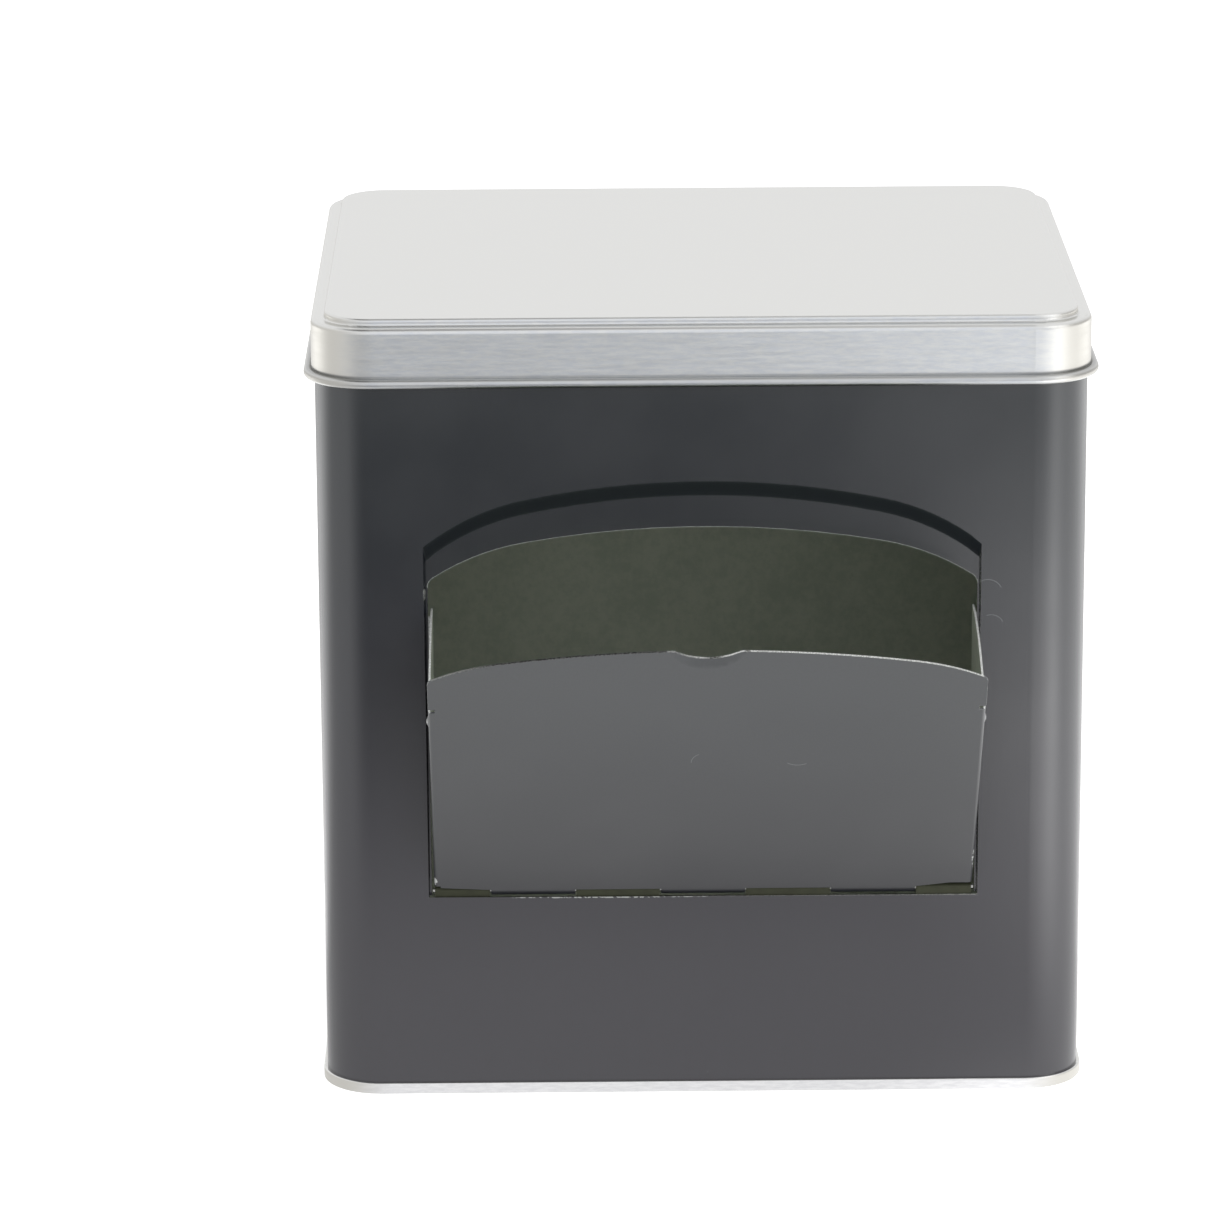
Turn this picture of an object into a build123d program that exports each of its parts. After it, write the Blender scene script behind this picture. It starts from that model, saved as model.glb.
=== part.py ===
from build123d import *
from math import acos, asin, cos, radians, sin, sqrt
import os

os.makedirs("parts", exist_ok=True)

# Tinplate canister with a lift-off lid and a tilt-out hatch in its front wall.
# Millimetres, +Z up, front towards -Y, origin under the middle of the base.
# The hatch stands open on its stop, as it does at rest.

# Overall sizes
body_width = 190.0
body_depth = 160.0
total_height = 199.0
corner_radius = 14.0
sheet = 0.5

# Base and its double seam
seam_height = 2.9
seam_reach = 0.9
seam_round = 0.4
base_lift = 3.2
bead_inset = 9.0
bead_rise = 0.9
compound = 0.3

# Lid
lid_gap = 0.3
lid_seat = 0.2
lid_height = 16.5
roll_radius = 1.2
panel_rise = 1.8
panel_inset = 3.4
shoulder_round = 1.3
panel_round = 0.8
root_round = 0.6

# Top curl and side seam of the wall
curl_radius = 1.1
side_seam_width = 5.0
side_seam_fold = 0.5
side_seam_groove = 0.6
side_seam_groove_depth = 0.2

# Hinge
hinge_height = 53.0
pin_radius = 0.6
pin_fit = 0.05
pin_overhang = 0.4
knuckle_end = 14.0
knuckle_gap = 0.3
edge_gap = 0.35
leaf_drop = 11.0

# Hatch opening and the stamped recess round it
opening_half = 67.7
opening_rise = 93.3
opening_crown = 256.0
opening_crown_half = 44.0
opening_end = 60.0
opening_corner = 3.0
recess_depth = 2.0
recess_margin = 0.7
ledge_rise = 11.9
recess_crown = 215.0
recess_crown_half = 44.0
recess_end = 57.0
slope_top = 3.6
slope_side = 0.3

# Hatch door
door_open = 35.0
door_side_gap = 0.7
door_overlap = 2.4
door_crown = 275.0
door_crown_half = 50.0
door_end = 50.0
door_corner_round = 2.0
cheek_radius = 72.8
cheek_foot = 3.2
relief_height = 1.2
relief_depth = 1.6
bend_radius = 0.9
ear_reach = 2.2
ear_drop = 2.0
ear_height = 8.0
ear_gap = 0.05
dimple_base = 1.6
dimple_height = 0.55
dimple_drop = 6.9
dimple_back = 3.2
notch_width = 17.0
notch_depth = 3.9
notch_round = 4.0
scoop_reach = 9.8
scoop_depth = 1.9
scoop_offset = 3.0
foot_run = 14.0
foot_rise_right = 2.4
foot_rise_left = 1.0

# How far a cutting block runs past the sheet on each side
overcut = 1.0

# Places that follow from the sizes above
front = -body_depth / 2
inner_front = front + sheet
ledge_back = front + recess_depth + sheet
knuckle_radius = pin_radius + pin_fit + sheet
hinge_y = inner_front + knuckle_radius
opening_foot = hinge_height - knuckle_radius - edge_gap
opening_peak = hinge_height + opening_rise
recess_half = opening_half + recess_margin
recess_peak = opening_peak + ledge_rise
door_half = opening_half - door_side_gap
door_peak = opening_rise + door_overlap
dimple_rise = cheek_radius - dimple_drop
ear_high = cheek_radius - ear_drop
ear_low = ear_high - ear_height
shoulder_z = total_height - panel_rise
wall_top = shoulder_z - sheet - lid_seat
wall_foot = sheet + compound
roll_z = total_height - lid_height + roll_radius
skirt_grow = lid_gap + sheet


def body_slab(grow, low, high):
    """The body's own outline, grown or shrunk on every side, between two heights."""
    with BuildPart(mode=Mode.PRIVATE) as block:
        with BuildSketch(Plane.XY.offset(low)):
            RectangleRounded(body_width + 2 * grow, body_depth + 2 * grow, corner_radius + grow)
        extrude(amount=high - low)
    return block.part


def ring_round_body(grow, height, radius, hole):
    """A tube that runs round the body's outline, grown by the given reach."""
    with BuildPart(mode=Mode.PRIVATE) as tube:
        with BuildSketch(Plane.XY.offset(height), mode=Mode.PRIVATE) as outline:
            RectangleRounded(body_width + 2 * grow, body_depth + 2 * grow, corner_radius + grow)
        path = outline.sketch.face().outer_wire()
        with BuildSketch(Plane(origin=path @ 0, x_dir=(0, 0, 1), z_dir=path % 0)):
            Circle(radius)
            Circle(hole, mode=Mode.SUBTRACT)
        sweep(path=path)
    return tube.part


def front_plane(y):
    """A plane that faces the front, with its own y axis upwards."""
    return Plane(origin=(0, y, 0), x_dir=(1, 0, 0), z_dir=(0, -1, 0))


def arch_line(half, peak, crown, crown_half, end_radius):
    """Draw a flat-crowned arch with a tighter arc at each end, and return the height of its ends."""
    turn = asin(crown_half / crown)
    mid_z = peak - crown * (1 - cos(turn))
    end_turn = asin(sin(turn) + (half - crown_half) / end_radius)
    end_z = mid_z - end_radius * (cos(turn) - cos(end_turn))
    between = (turn + end_turn) / 2
    via_x = crown_half + end_radius * (sin(between) - sin(turn))
    via_z = mid_z - end_radius * (cos(turn) - cos(between))
    ThreePointArc((-crown_half, mid_z), (0, peak), (crown_half, mid_z))
    ThreePointArc((crown_half, mid_z), (via_x, via_z), (half, end_z))
    ThreePointArc((-half, end_z), (-via_x, via_z), (-crown_half, mid_z))
    return end_z


def arch_face(half, peak, form):
    """An arched outline that stands on the opening's foot."""
    with BuildSketch(mode=Mode.PRIVATE) as face:
        with BuildLine():
            end_z = arch_line(half, peak, *form)
            Polyline((half, end_z), (half, opening_foot), (-half, opening_foot), (-half, end_z))
        make_face()
    return face.sketch


def recess_block(grow, y_from, y_to):
    """The stamped pan, from its outline at the wall to its smaller one at the ledge."""
    half = recess_half + grow
    peak = recess_peak + grow
    form = (recess_crown, recess_crown_half, recess_end)
    with BuildPart(mode=Mode.PRIVATE) as pan:
        with BuildSketch(front_plane(y_from)):
            add(arch_face(half, peak, form))
        with BuildSketch(front_plane(y_to)):
            add(arch_face(half - slope_side, peak - slope_top, form))
        loft(ruled=True)
    return pan.part


def opening_block(y_from, y_to):
    """The hatch opening: a shallow arch with small round corners where it meets the sides."""
    form = (opening_crown, opening_crown_half, opening_end)
    with BuildPart(mode=Mode.PRIVATE) as block:
        with BuildSketch(front_plane(y_from)) as outline:
            add(arch_face(opening_half, opening_peak, form))
            fillet(outline.vertices().group_by(Axis.Y)[1], opening_corner)
        extrude(amount=y_from - y_to)
    return block.part


def tube_along_hinge(x_from, x_to, outer, inner):
    """A length of tube or, with no inner radius, of rod on the hinge axis."""
    with BuildPart(mode=Mode.PRIVATE) as tube:
        with BuildSketch(Plane(origin=(x_from, hinge_y, hinge_height), x_dir=(0, 1, 0), z_dir=(1, 0, 0))):
            Circle(outer)
            if inner > 0:
                Circle(inner, mode=Mode.SUBTRACT)
        extrude(amount=x_to - x_from)
    return tube.part


def span_box(x_from, x_to, y_from, y_to, z_from, z_to):
    """A block between three pairs of planes."""
    with BuildPart(mode=Mode.PRIVATE) as block:
        with BuildSketch(Plane.XY.offset(z_from)):
            with Locations(((x_from + x_to) / 2, (y_from + y_to) / 2)):
                Rectangle(x_to - x_from, y_to - y_from)
        extrude(amount=z_to - z_from)
    return block.part


# Knuckles share the door's width: a short one at each end and five equal ones between.
# The first, third, fifth and seventh belong to the leaf, the others to the door.
knuckle_length = (2 * door_half - 2 * knuckle_end) / 5
knuckle_marks = [-door_half]
for index in range(6):
    knuckle_marks.append(-door_half + knuckle_end + index * knuckle_length)
knuckle_marks.append(door_half)
spans = [
    (low + knuckle_gap / 2, high - knuckle_gap / 2)
    for low, high in zip(knuckle_marks[:-1], knuckle_marks[1:])
]
leaf_spans = spans[0::2]
door_spans = spans[1::2]

# Body wall: outer wrap, pan pressed inwards, opening, inward top curl and side seam
with BuildPart() as body_wall:
    add(body_slab(0, wall_foot, wall_top - curl_radius))
    add(body_slab(-sheet, wall_foot, wall_top), mode=Mode.SUBTRACT)
    add(recess_block(sheet, inner_front, ledge_back))
    add(recess_block(0, front, front + recess_depth), mode=Mode.SUBTRACT)
    add(opening_block(front - overcut, ledge_back + overcut), mode=Mode.SUBTRACT)
    add(ring_round_body(-curl_radius, wall_top - curl_radius, curl_radius, curl_radius - sheet))
    with BuildSketch(Plane.XY.offset(base_lift + sheet)):
        with Locations((0, body_depth / 2 - sheet)):
            Rectangle(side_seam_width, side_seam_fold, align=(Align.CENTER, Align.MAX))
    extrude(amount=wall_top - 2 * curl_radius - base_lift - sheet)
    with BuildSketch(Plane.XY.offset(seam_height)):
        with Locations((side_seam_width / 2, body_depth / 2)):
            Rectangle(side_seam_groove, side_seam_groove_depth, align=(Align.CENTER, Align.MAX))
    extrude(amount=wall_top - 2 * curl_radius - seam_height, mode=Mode.SUBTRACT)
body_wall.part.label = "body_wall"
export_step(body_wall.part, "parts/body_wall.step")

# Base plate: countersunk panel with a raised middle, and the seam hooked round the wall's foot
with BuildPart() as base_plate:
    add(body_slab(seam_reach, 0, seam_height))
    rim = base_plate.faces().filter_by(Axis.Z).edges()
    fillet(rim, seam_round)
    add(body_slab(-sheet, seam_height / 2, base_lift + sheet))
    add(body_slab(-bead_inset, base_lift, base_lift + bead_rise + sheet))
    add(body_slab(-2 * sheet, 0, base_lift), mode=Mode.SUBTRACT)
    add(body_slab(-bead_inset - sheet, 0, base_lift + bead_rise), mode=Mode.SUBTRACT)
    with BuildSketch(Plane.XY.offset(sheet)):
        RectangleRounded(body_width, body_depth, corner_radius)
        RectangleRounded(
            body_width - 2 * sheet, body_depth - 2 * sheet, corner_radius - sheet, mode=Mode.SUBTRACT
        )
    extrude(amount=base_lift, mode=Mode.SUBTRACT)
base_plate.part.label = "base_plate"
export_step(base_plate.part, "parts/base_plate.step")

# Lining compound, squeezed in the seam under the wall's foot
with BuildPart() as seam_compound:
    with BuildSketch(Plane.XY.offset(sheet)):
        RectangleRounded(body_width, body_depth, corner_radius)
        RectangleRounded(
            body_width - 2 * sheet, body_depth - 2 * sheet, corner_radius - sheet, mode=Mode.SUBTRACT
        )
    extrude(amount=compound)
seam_compound.part.label = "seam_compound"
export_step(seam_compound.part, "parts/seam_compound.step")


def lid_form(skin, low):
    """The lid's outer form, or with a skin its inner form, down to a height."""
    with BuildPart(mode=Mode.PRIVATE) as form:
        reach = skirt_grow - skin
        step = shoulder_z - skin
        with BuildSketch(Plane.XY.offset(low)):
            RectangleRounded(body_width + 2 * reach, body_depth + 2 * reach, corner_radius + reach)
        extrude(amount=step - low)
        inset = reach - panel_inset
        with BuildSketch(Plane.XY.offset(step)):
            RectangleRounded(body_width + 2 * inset, body_depth + 2 * inset, corner_radius + inset)
        extrude(amount=panel_rise)
        fillet(form.faces().sort_by(Axis.Z)[-1].edges(), panel_round - skin)
        shelf = form.faces().filter_by(Axis.Z).sort_by(Axis.Z)[-2]
        fillet(shelf.inner_wires()[0].edges(), root_round + skin)
        shelf = form.faces().filter_by(Axis.Z).sort_by(Axis.Z)[-2]
        fillet(shelf.outer_wire().edges(), shoulder_round - skin)
    return form.part


# Lid: raised panel, shoulder and skirt in one sheet, with its edge rolled outwards
with BuildPart() as lid:
    add(lid_form(0, roll_z))
    add(lid_form(sheet, roll_z), mode=Mode.SUBTRACT)
    add(ring_round_body(lid_gap + roll_radius, roll_z, roll_radius, roll_radius - sheet))
lid.part.label = "lid"
export_step(lid.part, "parts/lid.step")

# Hinge leaf: strip behind the wall's edge, rolled into knuckles round the pin
with BuildPart() as hinge_leaf:
    add(span_box(
        -door_half, door_half, inner_front, inner_front + sheet, opening_foot - leaf_drop, opening_foot
    ))
    for low, high in leaf_spans:
        add(span_box(low, high, inner_front, inner_front + sheet, opening_foot - edge_gap, hinge_height))
        add(tube_along_hinge(low, high, knuckle_radius, knuckle_radius - sheet))
        add(tube_along_hinge(low, high, knuckle_radius - sheet, 0), mode=Mode.SUBTRACT)
hinge_leaf.part.label = "hinge_leaf"
export_step(hinge_leaf.part, "parts/hinge_leaf.step")

# Hinge pin: plain wire
with BuildPart() as hinge_pin:
    add(tube_along_hinge(-door_half - pin_overhang, door_half + pin_overhang, pin_radius, 0))
hinge_pin.part.label = "hinge_pin"
export_step(hinge_pin.part, "parts/hinge_pin.step")

# Planes of the open door: its face, its side, and square to its height.
# On the face plane y runs up the door; on the side plane x runs backwards.
lean = radians(door_open)
hinge_point = (0, hinge_y, hinge_height)
face_plane = Plane(origin=hinge_point, x_dir=(1, 0, 0), z_dir=(0, -cos(lean), -sin(lean)))
side_plane = Plane(origin=hinge_point, x_dir=(0, cos(lean), sin(lean)), z_dir=(1, 0, 0))
foot_plane = Plane(origin=hinge_point, x_dir=(1, 0, 0), z_dir=(0, -sin(lean), cos(lean)))
skin_front = knuckle_radius
skin_back = knuckle_radius - sheet
dimple_radius = (dimple_base ** 2 + dimple_height ** 2) / (2 * dimple_height)


def door_outline(low):
    """The front panel's outline above a height, with its arched top, notch and round corners."""
    edge = door_half - relief_depth
    relief_top = cheek_radius + relief_height
    notch_radius = (notch_width ** 2 / 4 + notch_depth ** 2) / (2 * notch_depth)
    with BuildSketch(mode=Mode.PRIVATE) as face:
        with BuildLine():
            door_side = arch_line(door_half, door_peak, door_crown, door_crown_half, door_end)
            Polyline(
                (door_half, door_side), (door_half, relief_top), (edge, relief_top),
                (edge, low + foot_rise_right), (edge - foot_run, low), (foot_run - edge, low),
                (-edge, low + foot_rise_left), (-edge, relief_top), (-door_half, relief_top),
                (-door_half, door_side),
            )
        make_face()
        fillet(face.vertices().group_by(Axis.Y)[-2], door_corner_round)
        with Locations((0, door_peak - notch_depth + notch_radius)):
            Circle(notch_radius, mode=Mode.SUBTRACT)
        lips = face.vertices().filter_by_position(Axis.X, -notch_width, notch_width)
        fillet(lips.group_by(Axis.Y)[-1], notch_round)
    return face.sketch


def cheek_block():
    """The side view of the folded part, as a block across the door's whole width."""
    rear = ledge_back + ear_gap + sheet - hinge_y
    rear_top = sqrt(cheek_radius ** 2 - rear ** 2)
    front_top = sqrt(cheek_radius ** 2 - skin_front ** 2)

    def upright(height):
        """A point on the cheek's rear edge, which stands upright in the open door."""
        return (rear * cos(lean) + height * sin(lean), -rear * sin(lean) + height * cos(lean))

    middle = lean / 2
    with BuildPart(mode=Mode.PRIVATE) as block:
        with BuildSketch(side_plane.offset(-door_half)):
            with BuildLine():
                ThreePointArc(
                    (-skin_front, front_top),
                    (cheek_radius * sin(middle), cheek_radius * cos(middle)),
                    upright(rear_top),
                )
                Polyline(
                    upright(rear_top), upright(cheek_foot), (-skin_front, cheek_foot), (-skin_front, front_top)
                )
            make_face()
        extrude(amount=2 * door_half)
    return block.part


def channel_block():
    """The folded sheet as a long channel, with its two bends, before its outline is cut."""
    depth = cheek_radius
    with BuildPart(mode=Mode.PRIVATE) as block:
        with BuildSketch(foot_plane):
            with Locations((0, -skin_front)):
                Rectangle(2 * door_half, depth, align=(Align.CENTER, Align.MIN))
            with Locations((0, -skin_back)):
                Rectangle(
                    2 * (door_half - sheet), depth, align=(Align.CENTER, Align.MIN), mode=Mode.SUBTRACT
                )
        extrude(amount=door_peak)
        upright_edges = block.edges().filter_by(Axis(hinge_point, foot_plane.z_dir))
        corners = upright_edges.sort_by(Axis(hinge_point, face_plane.z_dir))[-4:]
        outer = corners.sort_by(Axis(hinge_point, face_plane.z_dir))[-2:]
        inner = corners.sort_by(Axis(hinge_point, face_plane.z_dir))[:2]
        fillet(outer, bend_radius)
        fillet(inner, bend_radius - sheet)
    return block.part


def detent_form(side, radius, depth):
    """A detent dimple's ball, cut off square at a depth under the cheek's face."""
    foot = side_plane.from_local_coords((dimple_back - skin_front, dimple_rise, side * door_half))
    ball_x = dimple_height - dimple_radius
    top_x = ball_x + radius
    turn = acos((-depth - ball_x) / radius)
    with BuildPart(mode=Mode.PRIVATE) as form:
        with BuildSketch(Plane(origin=foot, x_dir=(side, 0, 0), z_dir=side_plane.y_dir)):
            with BuildLine():
                ThreePointArc(
                    (-depth, radius * sin(turn)),
                    (ball_x + radius * cos(turn / 2), radius * sin(turn / 2)),
                    (top_x, 0),
                )
                Polyline((top_x, 0), (-depth, 0), (-depth, radius * sin(turn)))
            make_face()
        revolve(axis=Axis(foot, (side, 0, 0)))
    return form.part


def stop_ear(side):
    """The ear bent outwards from a cheek, which meets the back of the ledge when the door is open."""
    ear_front = ledge_back + ear_gap
    low, high = sorted((side * (door_half - sheet), side * (door_half + ear_reach)))
    with BuildPart(mode=Mode.PRIVATE) as ear:
        add(span_box(
            low, high, ear_front, ear_front + sheet, hinge_height + ear_low, hinge_height + ear_high
        ))
        ends = ear.edges().filter_by(Axis.Y).sort_by(Axis.X)
        fillet(ends[-2:] if side > 0 else ends[:2], ear_reach / 2)
    return ear.part


def scoop_ball(radius):
    """The ball that presses the finger scoop into the panel's face."""
    with BuildPart(mode=Mode.PRIVATE) as ball:
        with Locations(face_plane.from_local_coords(
            (0, door_peak + scoop_offset, skin_front + scoop_radius - scoop_depth)
        )):
            Sphere(radius)
    return ball.part


# Hatch door: channel cut to its outline, face panel, scoop, dimples, stop ears and knuckles
panel_low = knuckle_radius + edge_gap
scoop_radius = (scoop_reach ** 2 + scoop_depth ** 2) / (2 * scoop_depth)
with BuildPart() as scoop_back:
    with BuildSketch(face_plane.offset(skin_back - scoop_depth)):
        add(door_outline(panel_low))
    extrude(amount=sheet + scoop_depth)
    add(scoop_ball(scoop_radius + sheet), mode=Mode.INTERSECT)

with BuildPart() as hatch_door:
    add(channel_block())
    add(cheek_block(), mode=Mode.INTERSECT)
    with BuildSketch(face_plane.offset(skin_back)):
        add(door_outline(panel_low))
    extrude(amount=sheet)
    add(scoop_back.part)
    add(scoop_ball(scoop_radius), mode=Mode.SUBTRACT)
    for side in (-1, 1):
        add(detent_form(side, dimple_radius, sheet / 2))
        add(detent_form(side, dimple_radius - sheet, 1.5 * sheet), mode=Mode.SUBTRACT)
        add(stop_ear(side))
    with BuildSketch(face_plane.offset(skin_back)):
        for low, high in door_spans:
            with Locations(((low + high) / 2, 0)):
                Rectangle(high - low, panel_low + sheet, align=(Align.CENTER, Align.MIN))
    extrude(amount=sheet)
    for low, high in door_spans:
        add(tube_along_hinge(low, high, knuckle_radius, 0))
    for low, high in door_spans:
        add(tube_along_hinge(low, high, knuckle_radius - sheet, 0), mode=Mode.SUBTRACT)
hatch_door.part.label = "hatch_door"
export_step(hatch_door.part, "parts/hatch_door.step")
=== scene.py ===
import math

import bmesh
import bpy
from mathutils import Matrix, Vector


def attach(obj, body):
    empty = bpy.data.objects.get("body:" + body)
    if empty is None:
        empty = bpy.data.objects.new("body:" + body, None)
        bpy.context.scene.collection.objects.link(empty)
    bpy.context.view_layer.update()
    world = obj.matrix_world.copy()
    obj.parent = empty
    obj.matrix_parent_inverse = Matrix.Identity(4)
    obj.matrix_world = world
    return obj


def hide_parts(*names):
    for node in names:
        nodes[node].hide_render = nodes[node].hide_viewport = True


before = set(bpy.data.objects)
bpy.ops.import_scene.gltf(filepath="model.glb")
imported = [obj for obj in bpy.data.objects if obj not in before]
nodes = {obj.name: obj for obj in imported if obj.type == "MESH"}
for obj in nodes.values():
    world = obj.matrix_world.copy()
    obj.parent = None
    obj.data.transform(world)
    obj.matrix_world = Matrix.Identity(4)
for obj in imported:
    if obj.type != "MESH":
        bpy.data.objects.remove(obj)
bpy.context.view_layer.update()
print("frame loaded:", len(nodes), "nodes")


# Node helpers

def addNode(tree, kind, inputs=None, **settings):
    node = tree.nodes.new(kind)
    for name, value in settings.items():
        setattr(node, name, value)
    for name, value in (inputs or {}).items():
        plug(tree, node.inputs[name], value)
    return node


def plug(tree, socket, value):
    if isinstance(value, bpy.types.NodeSocket):
        tree.links.new(value, socket)
    else:
        socket.default_value = value


def calc(tree, operation, a, b=0.0, c=0.0):
    node = addNode(tree, "ShaderNodeMath", {0: a, 1: b}, operation=operation)
    if operation == "MULTIPLY_ADD":
        plug(tree, node.inputs[2], c)
    return node.outputs[0]


def ramp(tree, value, span, levels=(0.0, 1.0)):     # eased from one level to the other over the span
    inputs = {"Value": value, "From Min": span[0], "From Max": span[1]}
    inputs.update({"To Min": levels[0], "To Max": levels[1]})
    return addNode(tree, "ShaderNodeMapRange", inputs, interpolation_type="SMOOTHSTEP").outputs["Result"]


def around(tree, value, span, middle, swing):
    return ramp(tree, value, span, (middle - swing, middle + swing))


def vectorMath(tree, operation, a, b=(0, 0, 0)):
    return addNode(tree, "ShaderNodeVectorMath", {0: a, 1: b}, operation=operation).outputs


def split(tree, vector):
    return addNode(tree, "ShaderNodeSeparateXYZ", {"Vector": vector}).outputs


def mixColour(tree, mask, a, b, blend="MIX"):
    node = addNode(tree, "ShaderNodeMix", data_type="RGBA", blend_type=blend)
    plug(tree, node.inputs[0], mask)
    plug(tree, node.inputs[6], a)
    plug(tree, node.inputs[7], b)
    return node.outputs[2]


def mixValue(tree, mask, a, b):
    node = addNode(tree, "ShaderNodeMix", data_type="FLOAT")
    plug(tree, node.inputs[0], mask)
    plug(tree, node.inputs[2], a)
    plug(tree, node.inputs[3], b)
    return node.outputs[0]


def noise(tree, vector, scale, detail=2.0, roughness=0.5):
    node = addNode(
        tree, "ShaderNodeTexNoise",
        {"Vector": vector, "Scale": scale, "Detail": detail, "Roughness": roughness},
    )
    return node.outputs["Fac"]


def srgb(red, green, blue):     # levels of 255, each above 10
    shares = [level / 255 for level in (red, green, blue)]
    return tuple(((share + 0.055) / 1.055) ** 2.4 for share in shares) + (1,)


def newGroup(name, inputs, outputs):
    group = bpy.data.node_groups.new(name, "ShaderNodeTree")
    for socketName, kind, default in inputs:
        socket = group.interface.new_socket(socketName, in_out="INPUT", socket_type=kind)
        if default is not None:
            socket.default_value = default
    for socketName, kind in outputs:
        group.interface.new_socket(socketName, in_out="OUTPUT", socket_type=kind)
    return group, group.nodes.new("NodeGroupInput").outputs, group.nodes.new("NodeGroupOutput").inputs


def useGroup(tree, group, **inputs):
    node = addNode(tree, "ShaderNodeGroup", node_tree=group)
    for name, value in inputs.items():
        plug(tree, node.inputs[name], value)
    return node.outputs


def newMaterial(name):
    material = bpy.data.materials.new(name)
    material.use_nodes = True
    tree = material.node_tree
    place = addNode(tree, "ShaderNodeTexCoord").outputs["Object"]
    return material, tree, tree.nodes["Principled BSDF"], place


def bumped(tree, height, strength, distance, before=None):
    inputs = {"Strength": strength, "Distance": distance, "Height": height}
    if before is not None:
        inputs["Normal"] = before
    return addNode(tree, "ShaderNodeBump", inputs).outputs[0]


def dress(nodeName, material):
    slots = nodes[nodeName].data.materials
    slots.clear()
    slots.append(material)


# Copies of CAD sheets with their folds rounded and their cut edges dulled

merge = {"near": 2e-6, "flat": math.radians(0.3), "sharp": math.radians(28)}
steps = {"fold": 3, "edge": 2}
sameFinish = -1     # rounded faces take the finish of their neighbours


def copySheet(nodeName, pieceName):
    shell = bmesh.new()
    shell.from_mesh(nodes[nodeName].data)
    bmesh.ops.remove_doubles(shell, verts=shell.verts, dist=merge["near"])
    bmesh.ops.dissolve_limit(
        shell, angle_limit=merge["flat"], use_dissolve_boundaries=False,
        verts=shell.verts, edges=shell.edges, delimit=set(),
    )
    mesh = bpy.data.meshes.new(pieceName)
    piece = bpy.data.objects.new(pieceName, mesh)
    bpy.context.scene.collection.objects.link(piece)
    return shell, piece


def roundOff(shell, edges, width, segments, finish):
    bmesh.ops.bevel(
        shell, geom=list(edges), offset=width, offset_type="OFFSET", segments=segments,
        profile=0.5, affect="EDGES", clamp_overlap=True, material=finish,
    )


def finishSheet(shell, piece, nodeName, body, finishes):
    for edge in shell.edges:
        edge.smooth = len(edge.link_faces) == 2 and edge.calc_face_angle() < merge["sharp"]
    for face in shell.faces:
        face.smooth = True
    shell.to_mesh(piece.data)
    shell.free()
    for material in finishes:
        piece.data.materials.append(material)
    weighted = piece.modifiers.new("evenNormals", "WEIGHTED_NORMAL")
    weighted.keep_sharp = True
    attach(piece, body)
    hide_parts(nodeName)
    print(piece.name + ":", len(piece.data.polygons), "faces")


# Shared effects

dustSize = {"least": 0.008, "spread": 0.016}     # radius of a speck, as a share of a cell
chipForm = {
    "scale": 1100,
    "level": 0.66,           # a noise above this chips the paint
    "easier": -0.35,         # what a fully bare patch adds to the level
    "fade": (0.5, 1.2),      # shares of the patch's reach over which chips die out
}
arcDepth = 0.006     # how far a fine arc reaches through the sheet


def makeDust():
    group, given, made = newGroup(
        "dustSpecks",
        [
            ("Place", "NodeSocketVector", None), ("Spacing", "NodeSocketFloat", 90.0),
            ("Share", "NodeSocketFloat", 0.1),
        ],
        [("Specks", "NodeSocketFloat")],
    )
    cells = addNode(group, "ShaderNodeTexVoronoi", {"Vector": given["Place"], "Scale": given["Spacing"]})
    pick = addNode(group, "ShaderNodeSeparateColor", {"Color": cells.outputs["Color"]})
    chosen = calc(group, "LESS_THAN", pick.outputs["Red"], given["Share"])
    size = calc(group, "MULTIPLY_ADD", pick.outputs["Green"], dustSize["spread"], dustSize["least"])
    close = calc(group, "LESS_THAN", cells.outputs["Distance"], size)
    plug(group, made["Specks"], calc(group, "MULTIPLY", chosen, close))
    return group


def makeGrain():
    group, given, made = newGroup(
        "rolledGrain",
        [("Place", "NodeSocketVector", None), ("Stretch", "NodeSocketVector", (1, 1, 1))],
        [("Grain", "NodeSocketFloat")],
    )
    lines = vectorMath(group, "MULTIPLY", given["Place"], given["Stretch"])["Vector"]
    plug(group, made["Grain"], noise(group, lines, scale=1.0, detail=3.0, roughness=0.6))
    return group


def makeChips():
    group, given, made = newGroup(
        "chipPatch",
        [
            ("Place", "NodeSocketVector", None), ("Centre", "NodeSocketVector", (0, 0, 0)),
            ("Reach", "NodeSocketVector", (0.001, 0.001, 0.001)), ("Bare", "NodeSocketFloat", 0.5),
        ],
        [("Chips", "NodeSocketFloat")],
    )
    offset = vectorMath(group, "SUBTRACT", given["Place"], given["Centre"])["Vector"]
    share = vectorMath(group, "DIVIDE", offset, given["Reach"])["Vector"]
    away = vectorMath(group, "LENGTH", share)["Value"]
    flakes = noise(group, given["Place"], chipForm["scale"])
    level = calc(group, "MULTIPLY_ADD", given["Bare"], chipForm["easier"], chipForm["level"])
    fade = ramp(group, away, chipForm["fade"])
    plug(group, made["Chips"], calc(group, "GREATER_THAN", flakes, calc(group, "ADD", level, fade)))
    return group


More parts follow.
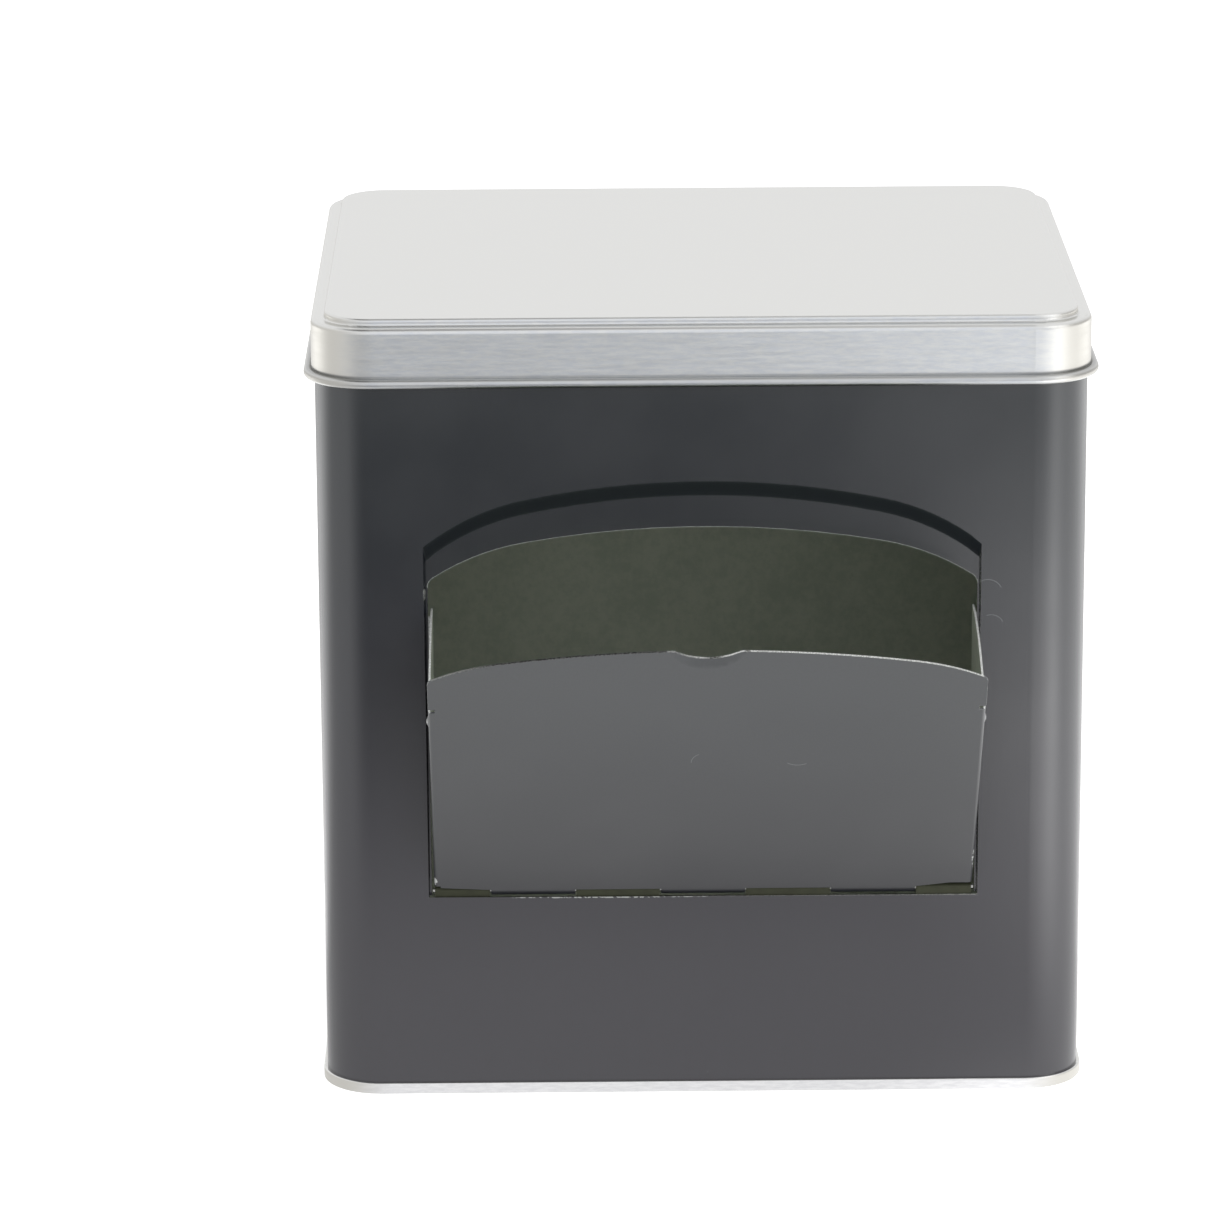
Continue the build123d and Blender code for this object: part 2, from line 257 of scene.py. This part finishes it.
def makeArc():
    group, given, made = newGroup(
        "fineArc",
        [
            ("Place", "NodeSocketVector", None), ("Centre", "NodeSocketVector", (0, 0, 0)),
            ("Radius", "NodeSocketFloat", 0.003), ("Width", "NodeSocketFloat", 0.00008),
            ("From", "NodeSocketFloat", 0.0), ("To", "NodeSocketFloat", 1.5),
        ],
        [("Arc", "NodeSocketFloat")],
    )
    parts = split(group, vectorMath(group, "SUBTRACT", given["Place"], given["Centre"])["Vector"])
    across, along = (calc(group, "MULTIPLY", parts[axis], parts[axis]) for axis in "XZ")
    reach = calc(group, "SQRT", calc(group, "ADD", across, along))
    away = calc(group, "ABSOLUTE", calc(group, "SUBTRACT", reach, given["Radius"]))
    line = calc(group, "LESS_THAN", away, given["Width"])
    turn = calc(group, "ARCTAN2", parts["Z"], parts["X"])
    after = calc(group, "GREATER_THAN", turn, given["From"])
    before = calc(group, "LESS_THAN", turn, given["To"])
    near = calc(group, "LESS_THAN", calc(group, "ABSOLUTE", parts["Y"]), arcDepth)
    line = calc(group, "MULTIPLY", line, near)
    plug(group, made["Arc"], calc(group, "MULTIPLY", line, calc(group, "MULTIPLY", after, before)))
    return group


dustSpecks = makeDust()
rolledGrain = makeGrain()
chipPatch = makeChips()
fineArc = makeArc()


# Charcoal paint on the outside of the wall and the hatch

paintForm = {
    "grainScale": (2600, 2600, 60),
    "grainBump": (0.05, 0.0002),     # strength, distance
    "cloudScale": 38,
    "spread": (0.3, 0.7),            # the part of a noise that is used
    "streak": (0.86, 0.86, 0.86, 1),
    "dustSpacing": 85.0,
    "gloss": 1.0,
    "roughSwing": 0.025,
    "waveDepth": 0.002,
    "chipMetal": 0.4,
    "chipRough": 0.4,
}


def charcoalPaint(name, look):
    material, tree, shader, place = newMaterial(name)
    grain = useGroup(tree, rolledGrain, Place=place, Stretch=paintForm["grainScale"])["Grain"]
    cloud = noise(tree, place, paintForm["cloudScale"], detail=3.0)
    marks = useGroup(
        tree, dustSpecks, Place=place, Spacing=paintForm["dustSpacing"], Share=look["dustShare"]
    )["Specks"]
    # painted light and shade: the paint's colour changes with height between its low and high colours,
    # lighter or darker by how light falls on the sheet
    height = ramp(tree, split(tree, place)["Z"], look["paintedLightSpan"])
    paint = mixColour(tree, height, look["paintLitLow"], look["paintLitHigh"])
    streak = mixColour(tree, ramp(tree, grain, paintForm["spread"]), paintForm["streak"], (1, 1, 1, 1))
    litStreakedPaint = mixColour(tree, 1.0, paint, streak, "MULTIPLY")
    for arc in look["arcs"]:
        turnFrom, turnTo = (math.radians(angle) for angle in arc["turn"])
        mark = useGroup(
            tree, fineArc, Place=place, Centre=arc["centre"], Radius=arc["radius"],
            Width=arc["width"], From=turnFrom, To=turnTo,
        )["Arc"]
        marks = calc(tree, "MAXIMUM", marks, calc(tree, "MULTIPLY", mark, look["arcShare"]))
    bare = 0.0
    for patch in look["chips"]:
        flakes = useGroup(
            tree, chipPatch, Place=place, Centre=patch["centre"], Reach=patch["reach"], Bare=patch["bare"]
        )["Chips"]
        bare = calc(tree, "MAXIMUM", flakes, bare)
    colour = mixColour(tree, marks, litStreakedPaint, look["dust"])
    colour = mixColour(tree, bare, colour, look["chip"])
    plug(tree, shader.inputs["Base Color"], colour)
    plug(tree, shader.inputs["Metallic"], calc(tree, "MULTIPLY", bare, paintForm["chipMetal"]))
    rough = around(tree, cloud, paintForm["spread"], look["rough"], paintForm["roughSwing"])
    plug(tree, shader.inputs["Roughness"], mixValue(tree, bare, rough, paintForm["chipRough"]))
    shader.inputs["Specular IOR Level"].default_value = paintForm["gloss"]
    fine = bumped(tree, grain, *paintForm["grainBump"])
    swell = noise(tree, place, look["waveScale"], detail=1.0)
    plug(tree, shader.inputs["Normal"], bumped(tree, swell, look["waves"], paintForm["waveDepth"], fine))
    return material


wallLook = {
    # painted light at the foot and painted shade at the top, under the lid
    "paintLitLow": srgb(34, 32, 41),
    "paintLitHigh": srgb(20, 26, 32),
    "paintedLightSpan": (0.02, 0.19),        # heights between which the painted light and shade on the paint changes
    "rough": 0.24,
    "waves": 0.25,
    "waveScale": 16,
    "dust": srgb(120, 124, 126),
    "arcShare": 0.55,
    "dustShare": 0.12,
    "chip": srgb(158, 160, 158),
    "arcs": [
        {"centre": (0.0701, -0.080, 0.1292), "radius": 0.0037, "width": 0.00007, "turn": (25, 115)},
        {"centre": (0.0710, -0.080, 0.1207), "radius": 0.0032, "width": 0.00007, "turn": (25, 110)},
    ],
    "chips": [
        {"centre": (-0.0682, -0.0800, 0.1300), "reach": (0.0009, 0.0025, 0.0026), "bare": 0.75},
        {"centre": (-0.022, -0.0800, 0.0515), "reach": (0.038, 0.0008, 0.0004), "bare": 0.5},
    ],
}
doorLook = {
    # painted shade towards the hinge at the foot, lighter towards the top
    "paintLitLow": srgb(36, 37, 42),
    "paintLitHigh": srgb(52, 55, 58),
    "paintedLightSpan": (0.055, 0.13),
    "rough": 0.3,
    "waves": 0.2,
    "waveScale": 20,
    "dust": srgb(130, 133, 136),
    "arcShare": 0.55,
    "dustShare": 0.2,
    "chip": srgb(205, 207, 205),
    "arcs": [
        {"centre": (-0.0008, -0.108, 0.0955), "radius": 0.0028, "width": 0.00007, "turn": (110, 180)},
        {"centre": (0.0223, -0.108, 0.0995), "radius": 0.0050, "width": 0.00008, "turn": (-120, -65)},
    ],
    "chips": [
        {"centre": (0.0669, -0.0870, 0.0625), "reach": (0.0006, 0.0060, 0.0065), "bare": 0.5},
        {"centre": (-0.0667, -0.0820, 0.0565), "reach": (0.0008, 0.0025, 0.0022), "bare": 0.65},
        {"centre": (0.0414, -0.0892, 0.0667), "reach": (0.0008, 0.0006, 0.0006), "bare": 0.2},
        {"centre": (0.0672, -0.1145, 0.1081), "reach": (0.0008, 0.0013, 0.0013), "bare": 0.95},
        {"centre": (-0.0672, -0.1145, 0.1081), "reach": (0.0008, 0.0013, 0.0013), "bare": 0.95},
    ],
}


# Olive lacquer on the inside

lacquerLook = {
    "light": srgb(197, 202, 187),
    "shade": srgb(181, 189, 174),
    "rough": 0.5,
    "roughSwing": 0.05,
    "metal": 0.5,
    "mottle": (420, 4.0, 0.7),       # scale, detail, roughness of the noise
    "cloudScale": 60,
    "cloudShare": 0.3,
    "toneSpread": (0.35, 0.65),
    "roughSpread": (0.3, 0.7),
    "bump": (0.08, 0.0002),
}


def oliveLacquer(name, look):
    material, tree, shader, place = newMaterial(name)
    mottle = noise(tree, place, *look["mottle"])
    cloud = noise(tree, place, look["cloudScale"])
    tone = ramp(tree, mixValue(tree, look["cloudShare"], mottle, cloud), look["toneSpread"])
    plug(tree, shader.inputs["Base Color"], mixColour(tree, tone, look["shade"], look["light"]))
    shader.inputs["Metallic"].default_value = look["metal"]
    rough = around(tree, mottle, look["roughSpread"], look["rough"], look["roughSwing"])
    plug(tree, shader.inputs["Roughness"], rough)
    plug(tree, shader.inputs["Normal"], bumped(tree, mottle, *look["bump"]))
    return material


# Bare sheared edge of the sheet, with painted shade that darkens it towards the left where its left level
# is under 1

edgeForm = {
    "shearScale": 2400,
    "toneSpread": (0.35, 0.65),
    "tones": (0.6, 1.0),
    # painted shade: the span of x over which the edge darkens towards the left
    "leftShadeSpan": (-0.012, 0.008),
    "dark": (0.01, 0.01, 0.01, 1),
    "roughSpread": (0.3, 0.7),
    "roughSwing": 0.08,
}


def cutEdge(name, colour, rough, metal, leftShadeLevel=1.0):
    material, tree, shader, place = newMaterial(name)
    shear = noise(tree, place, edgeForm["shearScale"])
    cleanAndShaded = ramp(tree, shear, edgeForm["toneSpread"], edgeForm["tones"])
    # painted shade: darker towards the left of the canister
    leftShadeRamp = ramp(tree, split(tree, place)["X"], edgeForm["leftShadeSpan"], (leftShadeLevel, 1.0))
    cleanAndShaded = calc(tree, "MULTIPLY", cleanAndShaded, leftShadeRamp)
    plug(tree, shader.inputs["Base Color"], mixColour(tree, cleanAndShaded, edgeForm["dark"], colour))
    roughness = around(tree, shear, edgeForm["roughSpread"], rough, edgeForm["roughSwing"])
    plug(tree, shader.inputs["Roughness"], roughness)
    shader.inputs["Metallic"].default_value = metal
    return material


finishPaint, finishLacquer, finishEdge, finishWorn, finishBright = range(5)     # slots of both sheets
# painted shade on the left part of this edge
rawEdge = cutEdge("rawEdge", srgb(215, 217, 214), rough=0.26, metal=0.95, leftShadeLevel=0.35)
brightEdge = cutEdge("brightEdge", srgb(222, 224, 221), rough=0.4, metal=0.4)
wornEdge = cutEdge("wornEdge", srgb(176, 180, 176), rough=0.5, metal=0.15)


# Body wall

wallShape = {
    "frontZone": -0.0768,                   # what lies further forward is the pressed front
    "opening": (0.0695, 0.050, 0.150),      # half width, foot, top of the zone that holds the opening
    "recess": (0.0705, 0.0517, 0.162),
    "edgeRound": 0.00018,
    "footEdge": 0.0525,
    "footRound": 0.00025,
    "foldRound": 0.0004,
    "curlTop": 0.1945,
    "cutBend": math.radians(70),
    "foldBend": (math.radians(15), math.radians(85)),
    "sideways": 0.2,                        # a face whose normal has less of Y than this is an edge
    "backwards": 0.1,
}


def inZone(point, zone):
    half, low, high = zone
    return abs(point.x) < half and low < point.z < high and point.y < wallShape["frontZone"]


def makeWall():
    shape = wallShape
    shell, piece = copySheet("body_wall", "canisterWall")
    folds, cuts = [], []
    foldLeast, foldMost = shape["foldBend"]
    for edge in shell.edges:
        if len(edge.link_faces) != 2:
            continue
        middle = (edge.verts[0].co + edge.verts[1].co) / 2
        bend = edge.calc_face_angle()
        first, second = (abs(face.normal.y) for face in edge.link_faces)
        isCut = bend > shape["cutBend"] and min(first, second) < shape["sideways"]
        if inZone(middle, shape["opening"]) and isCut:
            cuts.append(edge)
        elif inZone(middle, shape["recess"]) and foldLeast < bend < foldMost:
            folds.append(edge)
    print("wall: cut edges", len(cuts), "folds", len(folds))
    roundOff(shell, folds, shape["foldRound"], steps["fold"], sameFinish)
    cuts = [edge for edge in cuts if edge.is_valid]
    foot = [edge for edge in cuts if (edge.verts[0].co + edge.verts[1].co).z / 2 < shape["footEdge"]]
    roundOff(shell, foot, shape["footRound"], steps["edge"], finishBright)
    cuts = [edge for edge in cuts if edge.is_valid]
    roundOff(shell, cuts, shape["edgeRound"], steps["edge"], finishWorn)
    for face in shell.faces:
        centre = face.calc_center_median()
        normal = face.normal
        if face.material_index >= finishWorn:
            continue
        if centre.y < shape["frontZone"]:
            if abs(normal.y) < shape["sideways"] and inZone(centre, shape["opening"]):
                face.material_index = finishEdge
            else:
                face.material_index = finishLacquer if normal.y > shape["backwards"] else finishPaint
        else:
            inward = normal.x * centre.x + normal.y * centre.y < 0
            face.material_index = finishLacquer if inward and centre.z < shape["curlTop"] else finishPaint
    lacquer = oliveLacquer("innerLacquer", lacquerLook)
    finishes = (charcoalPaint("wallPaint", wallLook), lacquer, rawEdge, wornEdge, brightEdge)
    finishSheet(shell, piece, "body_wall", "canister", finishes)


# Hatch door

doorShape = {
    "axis": Vector((0, -0.07835, 0.053)),
    "lean": math.radians(35),
    "half": 0.067,
    "skinBack": 0.00065,
    "edgeRound": 0.0001,
    "knuckle": 0.0016,
    "cutBend": math.radians(60),
    "skinSlack": 0.00025,
    "cheekDepth": 0.0006,      # how far in from the side a face still belongs to the cheek
    "cheekClear": 0.002,       # and from where it surely belongs to the panel
    "bendReach": 0.0012,
    "edgeTurn": 0.35,          # limits on how far a face looks outwards or sideways
    "backTurn": -0.2,
    "sideTurn": 0.4,
    "frontTurn": 0.3,
}


def makeDoor():
    shape = doorShape
    outward = Vector((0, -math.cos(shape["lean"]), -math.sin(shape["lean"])))
    upward = Vector((0, -math.sin(shape["lean"]), math.cos(shape["lean"])))
    shell, piece = copySheet("hatch_door", "hatchShell")
    edges = []
    for edge in shell.edges:
        if len(edge.link_faces) == 2 and edge.calc_face_angle() > shape["cutBend"]:
            middle = (edge.verts[0].co + edge.verts[1].co) / 2 - shape["axis"]
            if middle.dot(upward) > shape["knuckle"]:
                edges.append(edge)
    print("door: cut edges", len(edges))
    roundOff(shell, edges, shape["edgeRound"], steps["edge"], finishEdge)
    for face in shell.faces:
        place = face.calc_center_median() - shape["axis"]
        normal = face.normal
        faceOut = normal.dot(outward)
        sideOut = normal.x * (1 if place.x > 0 else -1)
        fromSide = shape["half"] - abs(place.x)
        onSkin = place.dot(outward) > shape["skinBack"] - shape["skinSlack"]
        onPanel = onSkin or fromSide > shape["cheekClear"]
        onCheek = fromSide < shape["cheekDepth"]
        if face.material_index == finishEdge:
            if onCheek:
                face.material_index = finishBright
            continue
        if place.dot(upward) < shape["knuckle"]:
            face.material_index = finishPaint
        elif onPanel and not onCheek:
            if abs(faceOut) < shape["edgeTurn"] and fromSide > shape["bendReach"]:
                face.material_index = finishEdge
            else:
                face.material_index = finishPaint if faceOut > shape["backTurn"] else finishLacquer
        elif abs(sideOut) > shape["sideTurn"]:
            face.material_index = finishPaint if sideOut > 0 else finishLacquer
        elif onPanel and faceOut > shape["frontTurn"]:
            face.material_index = finishPaint
        else:
            face.material_index = finishBright
    lacquer = oliveLacquer("doorLacquer", lacquerLook)
    finishes = (charcoalPaint("doorPaint", doorLook), lacquer, rawEdge, wornEdge, brightEdge)
    finishSheet(shell, piece, "hatch_door", "hatch", finishes)


makeWall()
makeDoor()
print("painted sheets done")


# Bare tinplate

tinForm = {
    "top": srgb(226, 226, 224),
    "uprightSpan": (0.3, 0.8),         # share of up in a face's normal, from a side to the top
    # painted shade: darker, warmer corners on the sides of the lid and the base
    "cornerShade": srgb(200, 198, 192),
    "cornerShadeSpan": (0.078, 0.091),
    # painted shade in the crease over the lid's rolled edge and on the roll
    "gapShade": srgb(90, 92, 94),
    "creaseAt": 0.1851,                # height of the crease over the lid's rolled edge
    "creaseReach": 0.0006,
    "creaseSpan": (0.07, 0.095),       # distances from the middle plane, with the painted shade darker outwards
    "creaseTones": (0.35, 0.7),
    "rollAt": 0.1837,                  # height of the lid's rolled edge
    "rollSpan": (0.001, 0.0013),
    "rollTone": 0.24,
    "mottleStretch": (1, 1, 5),
    "mottle": (260, 5.0, 0.65),        # scale, detail, roughness of the noise
    "mottleSpread": (0.35, 0.65),
    "grainScale": (90, 90, 1500),
    "grainSpread": (0.3, 0.7),
    "grainSwing": 0.04,
    "sideRough": 0.36,
    "bump": (0.03, 0.0003),            # strength, distance
}


def tinplate(name, rough, bright, shade):
    form = tinForm
    material, tree, shader, place = newMaterial(name)
    at = split(tree, place)
    facing = split(tree, addNode(tree, "ShaderNodeTexCoord").outputs["Normal"])
    fromMiddle = calc(tree, "ABSOLUTE", at["X"])
    fromCrease = calc(tree, "ABSOLUTE", calc(tree, "SUBTRACT", at["Z"], form["creaseAt"]))
    fromRoll = calc(tree, "ABSOLUTE", calc(tree, "SUBTRACT", at["Z"], form["rollAt"]))
    upright = ramp(tree, calc(tree, "ABSOLUTE", facing["Z"]), form["uprightSpan"], (1.0, 0.0))
    grain = useGroup(tree, rolledGrain, Place=place, Stretch=form["grainScale"])["Grain"]
    stretched = vectorMath(tree, "MULTIPLY", place, form["mottleStretch"])["Vector"]
    mottle = noise(tree, stretched, *form["mottle"])
    side = mixColour(tree, ramp(tree, mottle, form["mottleSpread"]), shade, bright)
    # painted shade at the corners
    side = mixColour(tree, ramp(tree, fromMiddle, form["cornerShadeSpan"]), side, form["cornerShade"])
    colour = mixColour(tree, upright, form["top"], side)
    # painted shade along the crease over the rolled edge, stronger towards the corners, and on the roll
    crease = ramp(tree, fromCrease, (0.0, form["creaseReach"]), (1.0, 0.0))
    crease = calc(tree, "MULTIPLY", crease, ramp(tree, fromMiddle, form["creaseSpan"], form["creaseTones"]))
    colour = mixColour(tree, crease, colour, form["gapShade"])
    roll = ramp(tree, fromRoll, form["rollSpan"], (form["rollTone"], 0.0))
    plug(tree, shader.inputs["Base Color"], mixColour(tree, roll, colour, form["gapShade"]))
    shader.inputs["Metallic"].default_value = 1.0
    level = mixValue(tree, upright, rough, form["sideRough"])
    lines = around(tree, grain, form["grainSpread"], 0.0, form["grainSwing"])
    plug(tree, shader.inputs["Roughness"], calc(tree, "MULTIPLY_ADD", upright, lines, level))
    height = calc(tree, "MULTIPLY", mottle, upright)
    plug(tree, shader.inputs["Normal"], bumped(tree, height, *form["bump"]))
    return material


lidTin = tinplate("lidTin", rough=0.3, bright=srgb(223, 225, 226), shade=srgb(212, 216, 222))
baseTin = tinplate("baseTin", rough=0.26, bright=srgb(236, 236, 237), shade=srgb(222, 222, 224))
dress("lid", lidTin)
dress("base_plate", baseTin)


# Hinge and compound

smallForm = {"patch": (300, 3.0), "spread": (0.3, 0.7), "darkShare": 0.8, "roughSwing": 0.06}


def plainFinish(name, colour, rough, metal):
    material, tree, shader, place = newMaterial(name)
    patch = noise(tree, place, *smallForm["patch"])
    dark = [channel * smallForm["darkShare"] for channel in colour[:3]] + [1]
    tone = ramp(tree, patch, smallForm["spread"])
    plug(tree, shader.inputs["Base Color"], mixColour(tree, tone, dark, colour))
    roughness = around(tree, patch, smallForm["spread"], rough, smallForm["roughSwing"])
    plug(tree, shader.inputs["Roughness"], roughness)
    shader.inputs["Metallic"].default_value = metal
    return material


# painted shade: the hinge leaf's olive lacquer is made far darker than the inner lacquer
dress("hinge_leaf", plainFinish("shadedLeafLacquer", srgb(58, 60, 46), rough=0.45, metal=0.6))
dress("hinge_pin", plainFinish("pinWire", srgb(190, 190, 188), rough=0.3, metal=1.0))
dress("seam_compound", plainFinish("liningCompound", srgb(150, 148, 140), rough=0.7, metal=0.0))
print("tinplate and small parts done")


# Floor, as a white sweep: its brightness in reflections varies with the distance from the canister
# and with forward, which is 1 in front of the canister and -1 behind it

floorForm = {
    "size": 6.0,
    "colour": srgb(240, 240, 240),
    "rough": 0.9,
    "glow": 0.55,
    "near": (0.16, 1.0),               # distance, brightness
    "middle": (0.55, 0.17),
    "far": (1.7, 1.12),
    "boxLevel": 1.8,                   # the softbox's reflection on the right front
    "boxRise": (0.15, 0.42),
    "boxFall": (0.48, 0.92),
    "boxEdge": (0.06, 0.12),
    "boxTurn": (0.3, 0.75),
    "left": 0.98,
    "right": 2.0,
    "sideEdge": (-0.1, 0.1),
    "rightRise": (0.15, 0.35),
    "rightStart": 0.75,                # share of the right side's brightness close by
    "rightFade": (0.45, 1.0),
    "rightEnd": 0.7,                   # and far off
    "behindSides": 1.9,
    "sideTurn": (-0.4, 0.1),
    "frontTurn": (0.6, 0.95),
    "back": 0.96,
    "backTurn": (-0.95, -0.5),
}


def sweepLevel(tree, place):
    form = floorForm
    at = split(tree, place)
    away = vectorMath(tree, "LENGTH", place)["Value"]
    forward = calc(tree, "DIVIDE", calc(tree, "MULTIPLY", at["Y"], -1.0), away)
    (nearAt, nearLit), (middleAt, middleLit), (farAt, farLit) = form["near"], form["middle"], form["far"]
    inner = ramp(tree, away, (nearAt, middleAt), (nearLit, middleLit))
    outer = ramp(tree, away, (middleAt, farAt), (0.0, farLit - middleLit))
    front = calc(tree, "ADD", inner, outer)
    box = ramp(tree, away, form["boxFall"], (form["boxLevel"], 0.0))
    box = calc(tree, "MULTIPLY", box, ramp(tree, away, form["boxRise"]))
    box = calc(tree, "MULTIPLY", box, ramp(tree, at["X"], form["boxEdge"]))
    right = ramp(tree, away, form["rightFade"], (form["right"], form["right"] * form["rightEnd"]))
    right = calc(tree, "MULTIPLY", right, ramp(tree, away, form["rightRise"], (form["rightStart"], 1.0)))
    sides = mixValue(tree, ramp(tree, at["X"], form["sideEdge"]), form["left"], right)
    sides = mixValue(tree, ramp(tree, forward, form["sideTurn"]), form["behindSides"], sides)
    level = mixValue(tree, ramp(tree, forward, form["frontTurn"]), sides, front)
    level = calc(tree, "MULTIPLY_ADD", box, ramp(tree, forward, form["boxTurn"]), level)
    return mixValue(tree, ramp(tree, forward, form["backTurn"]), form["back"], level)


def makeFloor():
    mesh = bpy.data.meshes.new("floor")
    sheet = bmesh.new()
    bmesh.ops.create_grid(sheet, x_segments=1, y_segments=1, size=floorForm["size"] / 2)
    sheet.to_mesh(mesh)
    sheet.free()
    floor = bpy.data.objects.new("floor", mesh)
    bpy.context.scene.collection.objects.link(floor)
    material, tree, shader, place = newMaterial("floorPaper")
    rays = addNode(tree, "ShaderNodeLightPath").outputs
    seen = calc(tree, "MAXIMUM", rays["Is Camera Ray"], rays["Is Glossy Ray"])
    seen = calc(tree, "MAXIMUM", seen, rays["Is Transmission Ray"])
    paper = mixColour(tree, rays["Is Glossy Ray"], floorForm["colour"], (0, 0, 0, 1))
    plug(tree, shader.inputs["Base Color"], paper)
    shader.inputs["Specular IOR Level"].default_value = 0.0
    shader.inputs["Roughness"].default_value = floorForm["rough"]
    shader.inputs["Emission Color"].default_value = (1, 1, 1, 1)
    glow = mixValue(tree, rays["Is Glossy Ray"], floorForm["glow"], sweepLevel(tree, place))
    plug(tree, shader.inputs["Emission Strength"], calc(tree, "MULTIPLY", seen, glow))
    mesh.materials.append(material)


# World, with its brightness in reflections by direction

worldForm = {
    "ambient": 0.6,
    "front": 1.0,
    "back": floorForm["back"],
    "frontTurn": (-0.6, 0.4),
    "left": floorForm["left"],
    "right": 0.8,
    "sideEdge": (-0.3, 0.3),
    "sideTurn": (0.45, 0.85),
    "upLeft": 0.06,
    "upRight": 1.0,
    "upEdge": (-0.02, 0.08),
    "upTurn": (0.82, 0.95),
}


def makeWorld():
    form = worldForm
    world = bpy.data.worlds.new("studioWorld")
    bpy.context.scene.world = world
    world.use_nodes = True
    tree = world.node_tree
    rays = addNode(tree, "ShaderNodeLightPath").outputs
    way = split(tree, addNode(tree, "ShaderNodeTexCoord").outputs["Generated"])
    level = ramp(tree, way["Y"], form["frontTurn"], (form["front"], form["back"]))
    sides = ramp(tree, way["X"], form["sideEdge"], (form["left"], form["right"]))
    beside = ramp(tree, calc(tree, "ABSOLUTE", way["X"]), form["sideTurn"])
    level = mixValue(tree, beside, level, sides)
    overhead = ramp(tree, way["X"], form["upEdge"], (form["upLeft"], form["upRight"]))
    level = mixValue(tree, ramp(tree, way["Z"], form["upTurn"]), level, overhead)
    strength = mixValue(tree, rays["Is Glossy Ray"], form["ambient"], level)
    seen = calc(tree, "MAXIMUM", rays["Is Camera Ray"], rays["Is Transmission Ray"])
    background = tree.nodes["Background"]
    background.inputs["Color"].default_value = (1, 1, 1, 1)
    plug(tree, background.inputs["Strength"], mixValue(tree, seen, strength, 1.0))


# Lamps and camera

lamps = [
    {
        "name": "overhead", "place": (0.1, 0.1, 1.3), "target": (0, 0, 0.1),
        "size": (1.2, 1.2), "power": 9.0, "mirrored": False,
    },
    {
        "name": "frontFill", "place": (0.3, -1.75, 0.8), "target": (0, 0, 0.1),
        "size": (1.6, 0.9), "power": 15.0, "mirrored": False,
    },
    {
        "name": "rightSide", "place": (0.75, -0.55, 0.5), "target": (0.05, 0, 0.1),
        "size": (0.5, 0.9), "power": 1.5, "mirrored": True,
    },
]


def addLamp(name, place, target, size, power, mirrored):
    light = bpy.data.lights.new(name, "AREA")
    light.shape = "RECTANGLE"
    light.size, light.size_y = size
    light.energy = power
    lamp = bpy.data.objects.new(name, light)
    bpy.context.scene.collection.objects.link(lamp)
    aim = (Vector(target) - Vector(place)).to_track_quat("-Z", "Y")
    lamp.matrix_world = Matrix.LocRotScale(Vector(place), aim, None)
    lamp.visible_glossy = mirrored


view = {
    "place": (-0.0341, -1.500, 0.527),
    "yaw": math.radians(0.454),
    "pitch": math.radians(15.774),
    "roll": math.radians(-0.321),
    "focal": 5997.0,        # pixels of a picture that is 1220 wide
    "width": 1220.0,
    "sensor": 36.0,
    "nearest": 0.01,
}


def makeCamera():
    camera = bpy.data.cameras.new("camera")
    camera.sensor_width = view["sensor"]
    camera.lens = view["focal"] / view["width"] * view["sensor"]
    camera.clip_start = view["nearest"]
    yaw, pitch, roll = view["yaw"], view["pitch"], view["roll"]
    forward = Vector((math.sin(yaw) * math.cos(pitch), math.cos(yaw) * math.cos(pitch), -math.sin(pitch)))
    level = Vector((math.cos(yaw), -math.sin(yaw), 0))
    upward = level.cross(forward)
    right = level * math.cos(roll) + upward * math.sin(roll)
    up = upward * math.cos(roll) - level * math.sin(roll)
    turn = Matrix((right, up, -forward)).transposed()
    rig = bpy.data.objects.new("camera", camera)
    bpy.context.scene.collection.objects.link(rig)
    rig.matrix_world = Matrix.Translation(Vector(view["place"])) @ turn.to_4x4()
    bpy.context.scene.camera = rig


makeFloor()
makeWorld()
for lamp in lamps:
    addLamp(**lamp)
makeCamera()
bpy.context.scene.view_settings.view_transform = "Standard"
print("stage set")
